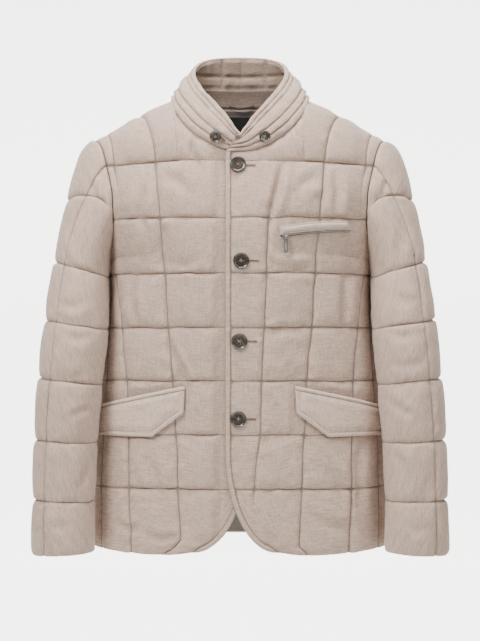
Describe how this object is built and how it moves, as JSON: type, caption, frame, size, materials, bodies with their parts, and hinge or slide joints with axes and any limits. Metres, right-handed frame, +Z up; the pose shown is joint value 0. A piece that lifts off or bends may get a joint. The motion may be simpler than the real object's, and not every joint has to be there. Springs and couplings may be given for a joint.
{
  "type": "quilted jacket",
  "caption": "Padded, grid-quilted jacket with a stand collar, buttoned front with cutaway corners, flap pockets and a zipped chest pocket, filled out as worn.",
  "frame": {"origin": "the point between the shoulders at the base of the neck, level with the inner ends of the shoulder seams, where the jacket rests on its wearer", "axes": "+Z up; -Y is the way the front faces; +X towards the wearer's left side"},
  "size_m": [0.647, 0.2362, 0.7884],
  "materials": {
    "quilted_cloth": "fine heathered wool-look cloth, matt, taupe",
    "inner_trim": "plain woven trim, brown-grey",
    "label_cloth": "blank woven black",
    "zip_metal": "satin silver-coloured metal",
    "button_horn": "polished dark horn with pale streaks"
  },
  "bodies": {
    "jacket": {"front_left": "quilted_cloth", "front_right": "quilted_cloth", "back": "quilted_cloth", "sleeve_left_front": "quilted_cloth", "sleeve_left_back": "quilted_cloth", "sleeve_right_front": "quilted_cloth", "sleeve_right_back": "quilted_cloth", "collar": "quilted_cloth", "edge_binding_left": "quilted_cloth", "edge_binding_right": "quilted_cloth", "flap_left": "quilted_cloth", "flap_band_left": "quilted_cloth", "flap_right": "quilted_cloth", "flap_band_right": "quilted_cloth", "chest_welt": "quilted_cloth", "collar_inner_band": "inner_trim", "chest_zip": "inner_trim", "hanger_loop": "inner_trim", "label_place": "label_cloth", "zip_slider": "zip_metal", "zip_bridge": "zip_metal", "button_1": "button_horn", "button_2": "button_horn", "button_3": "button_horn", "button_4": "button_horn", "collar_button_left": "button_horn", "collar_button_right": "button_horn"},
    "zip_pull": {"zip_pull_tab": "zip_metal"}
  },
  "joints": [
    {"name": "zip_pull_swing", "type": "hinge", "parent": "jacket", "child": "zip_pull", "pos_m": [0.07, -0.12, -0.2118], "axis": [-1, 0, 0], "range_deg": [0, 95]}
  ]
}
